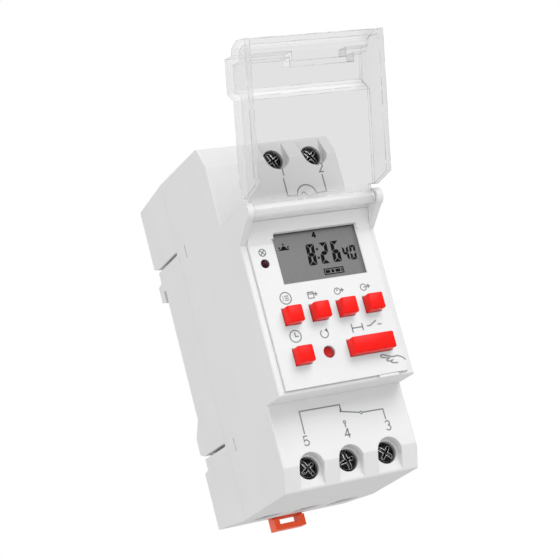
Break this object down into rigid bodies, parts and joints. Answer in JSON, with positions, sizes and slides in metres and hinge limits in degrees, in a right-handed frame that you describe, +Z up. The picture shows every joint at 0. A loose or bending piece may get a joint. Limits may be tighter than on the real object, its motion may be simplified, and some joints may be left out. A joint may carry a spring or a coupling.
{
  "type": "din rail timer",
  "caption": "DIN rail digital time switch with a clear hinged cover, display, push keys, cage clamp screw terminals and a sliding rail clip.",
  "frame": {"origin": "floor of the rail groove, midway across the width and midway up the 45 mm front block", "axes": "+X to the right seen from the front, +Y to the rear (into the wall), +Z up"},
  "size_m": [0.036, 0.0841, 0.1023],
  "materials": {
    "white_abs": "moulded, fine matt grain",
    "clear_cover": "clear, polished",
    "lcd_face": "smooth grey display",
    "grey_abs": "moulded",
    "silicone_strip": "soft strip",
    "red_lens": "dark red lens",
    "red_key": "smooth moulded",
    "black_nylon": "moulded",
    "board_laminate": "lacquered glass laminate",
    "zinc_steel": "zinc plated",
    "ribbon_pvc": "flat cable",
    "copper_winding": "enamelled copper wire",
    "contact_brass": "plated brass",
    "cell_sleeve": "shrunk sleeve",
    "film_block": "epoxy dipped box",
    "can_sleeve": "sleeved can",
    "orange_nylon": "moulded",
    "screw_steel": "dark zinc plated",
    "clamp_steel": "zinc plated",
    "bar_brass": "plated brass"
  },
  "bodies": {
    "case_body": {"housing_base": "white_abs", "housing_front": "white_abs", "front_panel": "white_abs", "lcd_glass": "lcd_face", "lcd_frame": "grey_abs", "zebra_upper": "silicone_strip", "zebra_lower": "silicone_strip", "led_lamp": "red_lens", "key_switches": "black_nylon", "display_board": "board_laminate", "board_screws": "zinc_steel", "main_board": "board_laminate", "board_link": "ribbon_pvc", "relay_case": "black_nylon", "relay_base": "grey_abs", "relay_coil": "copper_winding", "relay_core": "zinc_steel", "relay_yoke": "zinc_steel", "relay_contact_open": "contact_brass", "relay_contact_closed": "contact_brass", "backup_cell": "cell_sleeve", "film_capacitor": "film_block", "storage_capacitor": "can_sleeve", "terminal_bar_1": "bar_brass", "terminal_bar_2": "bar_brass", "terminal_bar_3": "bar_brass", "terminal_bar_4": "bar_brass", "terminal_bar_5": "bar_brass"},
    "cover_body": {"cover": "clear_cover"},
    "armature_body": {"relay_armature": "contact_brass"},
    "clip_body": {"rail_clip": "orange_nylon"},
    "reset_body": {"key_reset": "red_key"},
    "key_program_body": {"key_program": "red_key"},
    "key_day_body": {"key_day": "red_key"},
    "key_hour_body": {"key_hour": "red_key"},
    "key_minute_body": {"key_minute": "red_key"},
    "key_clock_body": {"key_clock": "red_key"},
    "key_manual_body": {"key_manual": "red_key"},
    "screw_1_body": {"terminal_screw_1": "screw_steel"},
    "clamp_1_body": {"terminal_clamp_1": "clamp_steel"},
    "screw_2_body": {"terminal_screw_2": "screw_steel"},
    "clamp_2_body": {"terminal_clamp_2": "clamp_steel"},
    "screw_3_body": {"terminal_screw_3": "screw_steel"},
    "clamp_3_body": {"terminal_clamp_3": "clamp_steel"},
    "screw_4_body": {"terminal_screw_4": "screw_steel"},
    "clamp_4_body": {"terminal_clamp_4": "clamp_steel"},
    "screw_5_body": {"terminal_screw_5": "screw_steel"},
    "clamp_5_body": {"terminal_clamp_5": "clamp_steel"}
  },
  "joints": [
    {"name": "cover_hinge", "type": "hinge", "parent": "case_body", "child": "cover_body", "pos_m": [0, -0.0572, 0.0204], "axis": [1, 0, 0], "range_deg": [0, 155]},
    {"name": "key_program_push", "type": "slide", "parent": "case_body", "child": "key_program_body", "axis": [0, 1, 0], "range_m": [0, 0.0008], "stiffness_N_per_m": 500, "springref_m": -0.002},
    {"name": "key_day_push", "type": "slide", "parent": "case_body", "child": "key_day_body", "axis": [0, 1, 0], "range_m": [0, 0.0008], "stiffness_N_per_m": 500, "springref_m": -0.002},
    {"name": "key_hour_push", "type": "slide", "parent": "case_body", "child": "key_hour_body", "axis": [0, 1, 0], "range_m": [0, 0.0008], "stiffness_N_per_m": 500, "springref_m": -0.002},
    {"name": "key_minute_push", "type": "slide", "parent": "case_body", "child": "key_minute_body", "axis": [0, 1, 0], "range_m": [0, 0.0008], "stiffness_N_per_m": 500, "springref_m": -0.002},
    {"name": "key_clock_push", "type": "slide", "parent": "case_body", "child": "key_clock_body", "axis": [0, 1, 0], "range_m": [0, 0.0008], "stiffness_N_per_m": 500, "springref_m": -0.002},
    {"name": "key_manual_push", "type": "slide", "parent": "case_body", "child": "key_manual_body", "axis": [0, 1, 0], "range_m": [0, 0.0008], "stiffness_N_per_m": 500, "springref_m": -0.002},
    {"name": "reset_push", "type": "slide", "parent": "case_body", "child": "reset_body", "axis": [0, 1, 0], "range_m": [0, 0.0008], "stiffness_N_per_m": 500, "springref_m": -0.002},
    {"name": "screw_1_turn", "type": "hinge", "parent": "case_body", "child": "screw_1_body", "pos_m": [0.0016, -0.039, 0.0383], "axis": [0, 1, 0], "range_deg": [0, 4372]},
    {"name": "clamp_1_rise", "type": "slide", "parent": "case_body", "child": "clamp_1_body", "axis": [0, -1, 0], "range_m": [0, 0.0085]},
    {"name": "screw_2_turn", "type": "hinge", "parent": "case_body", "child": "screw_2_body", "pos_m": [0.0121, -0.039, 0.0383], "axis": [0, 1, 0], "range_deg": [0, 4372]},
    {"name": "clamp_2_rise", "type": "slide", "parent": "case_body", "child": "clamp_2_body", "axis": [0, -1, 0], "range_m": [0, 0.0085]},
    {"name": "screw_3_turn", "type": "hinge", "parent": "case_body", "child": "screw_3_body", "pos_m": [0.0105, -0.039, -0.0383], "axis": [0, 1, 0], "range_deg": [0, 4372]},
    {"name": "clamp_3_rise", "type": "slide", "parent": "case_body", "child": "clamp_3_body", "axis": [0, -1, 0], "range_m": [0, 0.0085]},
    {"name": "screw_4_turn", "type": "hinge", "parent": "case_body", "child": "screw_4_body", "pos_m": [0, -0.039, -0.0383], "axis": [0, 1, 0], "range_deg": [0, 4372]},
    {"name": "clamp_4_rise", "type": "slide", "parent": "case_body", "child": "clamp_4_body", "axis": [0, -1, 0], "range_m": [0, 0.0085]},
    {"name": "screw_5_turn", "type": "hinge", "parent": "case_body", "child": "screw_5_body", "pos_m": [-0.0105, -0.039, -0.0383], "axis": [0, 1, 0], "range_deg": [0, 4372]},
    {"name": "clamp_5_rise", "type": "slide", "parent": "case_body", "child": "clamp_5_body", "axis": [0, -1, 0], "range_m": [0, 0.0085]},
    {"name": "armature_pull", "type": "hinge", "parent": "case_body", "child": "armature_body", "pos_m": [0.0089, -0.0299, -0.0114], "axis": [-1, 0, 0], "range_deg": [0, 3.7], "stiffness_Nm_per_rad": 0.01, "springref_deg": -8.59},
    {"name": "clip_slide", "type": "slide", "parent": "case_body", "child": "clip_body", "axis": [0, 0, 1], "range_m": [-0.003, 0], "stiffness_N_per_m": 800, "springref_m": 0.002}
  ],
  "couplings": [
    {"joint": "screw_1_turn", "follows": "clamp_1_rise", "rad_per_m": 8976},
    {"joint": "screw_2_turn", "follows": "clamp_2_rise", "rad_per_m": 8976},
    {"joint": "screw_3_turn", "follows": "clamp_3_rise", "rad_per_m": 8976},
    {"joint": "screw_4_turn", "follows": "clamp_4_rise", "rad_per_m": 8976},
    {"joint": "screw_5_turn", "follows": "clamp_5_rise", "rad_per_m": 8976}
  ]
}
